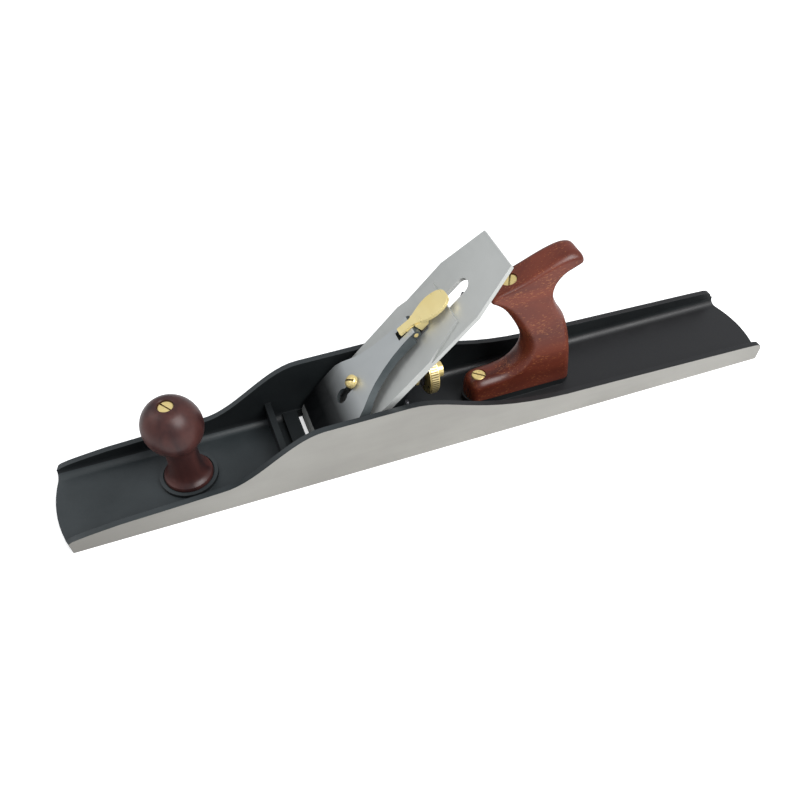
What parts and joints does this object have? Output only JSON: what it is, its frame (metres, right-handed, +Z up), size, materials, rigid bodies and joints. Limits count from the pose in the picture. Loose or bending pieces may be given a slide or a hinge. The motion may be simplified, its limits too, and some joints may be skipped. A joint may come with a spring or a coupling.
{
  "type": "jointer plane",
  "caption": "Long cast iron jointer plane with a black interior, ground grey sides, a slotted blade on a frog, brass fittings, a round front knob and a red-brown rear handle.",
  "frame": {"origin": "centre of the sole's underside", "axes": "+X from toe to heel, +Y to the left of the user's push towards -X seen from behind, +Z up"},
  "size_m": [0.559, 0.073, 0.136],
  "materials": {
    "cast_black": "satin",
    "ground_iron": "satin",
    "iron_steel": "satin",
    "cap_steel": "satin",
    "dark_steel": "satin",
    "brass": "gloss",
    "knob_wood": "satin",
    "handle_wood": "satin"
  },
  "bodies": {
    "casting": {"body": "cast_black", "knob": "knob_wood", "knob_rod": "dark_steel", "knob_nut": "brass", "tote": "handle_wood", "tote_rod": "dark_steel", "tote_nut": "brass", "tote_toe_screw": "brass", "frog_screws": "dark_steel", "frog_washers": "dark_steel"},
    "frog_set": {"frog": "cast_black", "frog_fork": "dark_steel", "fork_screw": "dark_steel", "adjusting_stud": "brass", "yoke_pin": "dark_steel", "lateral_rivet": "dark_steel", "lever_cap_screw": "brass"},
    "adjusting_screw": {"frog_adjusting_screw": "dark_steel"},
    "irons": {"cutting_iron": "iron_steel", "cap_iron": "iron_steel", "cap_iron_screw": "dark_steel"},
    "yoke_lever": {"yoke": "dark_steel"},
    "depth_collar": {"depth_nut": "brass"},
    "wheel": {"depth_wheel": "brass"},
    "side_lever": {"lateral_lever": "dark_steel"},
    "side_roller": {"lateral_roller": "iron_steel"},
    "clamp": {"lever_cap": "cap_steel", "cam_pin": "brass", "lever_cap_spring": "dark_steel", "spring_rivet": "dark_steel"},
    "cam": {"cam_lever": "brass"}
  },
  "joints": [
    {"name": "frog_slide", "type": "slide", "parent": "casting", "child": "frog_set", "axis": [-1, 0, 0], "range_m": [0, 0.0015]},
    {"name": "adjusting_screw_turn", "type": "hinge", "parent": "frog_set", "child": "adjusting_screw", "pos_m": [-0.0153, 0, 0.0094], "axis": [1, 0, 0], "range_deg": [0, 540]},
    {"name": "iron_set", "type": "slide", "parent": "frog_set", "child": "irons", "axis": [-0.7071, 0, -0.7071], "range_m": [-0.0025, 0.003]},
    {"name": "yoke_swing", "type": "hinge", "parent": "frog_set", "child": "yoke_lever", "pos_m": [-0.02687, 0, 0.05303], "axis": [0, -1, 0], "range_deg": [-12.84, 15.4]},
    {"name": "collar_slide", "type": "slide", "parent": "frog_set", "child": "depth_collar", "axis": [1, 0, 0], "range_m": [-0.00206, 0.00248]},
    {"name": "wheel_turn", "type": "hinge", "parent": "depth_collar", "child": "wheel", "pos_m": [-0.0017, 0, 0.0438], "axis": [1, 0, 0], "range_deg": [-740, 888]},
    {"name": "lateral_swing", "type": "hinge", "parent": "frog_set", "child": "side_lever", "pos_m": [-0.02262, 0, 0.06576], "axis": [-0.7071, 0, 0.7071], "range_deg": [-5, 5]},
    {"name": "roller_spin", "type": "hinge", "parent": "side_lever", "child": "side_roller", "pos_m": [-0.01923, 0, 0.07227], "axis": [-0.7071, 0, 0.7071], "continuous": true},
    {"name": "lever_cap_slide", "type": "slide", "parent": "frog_set", "child": "clamp", "axis": [0.7071, 0, 0.7071], "range_m": [0, 0.0132]},
    {"name": "cam_swing", "type": "hinge", "parent": "clamp", "child": "cam", "pos_m": [-0.01506, 0, 0.0886], "axis": [0, -1, 0], "range_deg": [0, 50]}
  ],
  "couplings": [
    {"joint": "adjusting_screw_turn", "follows": "frog_slide", "rad_per_m": 6283.2},
    {"joint": "yoke_swing", "follows": "iron_set", "rad_per_m": 89.286},
    {"joint": "collar_slide", "follows": "iron_set", "ratio": 0.82143},
    {"joint": "wheel_turn", "follows": "iron_set", "rad_per_m": 5161.2}
  ]
}
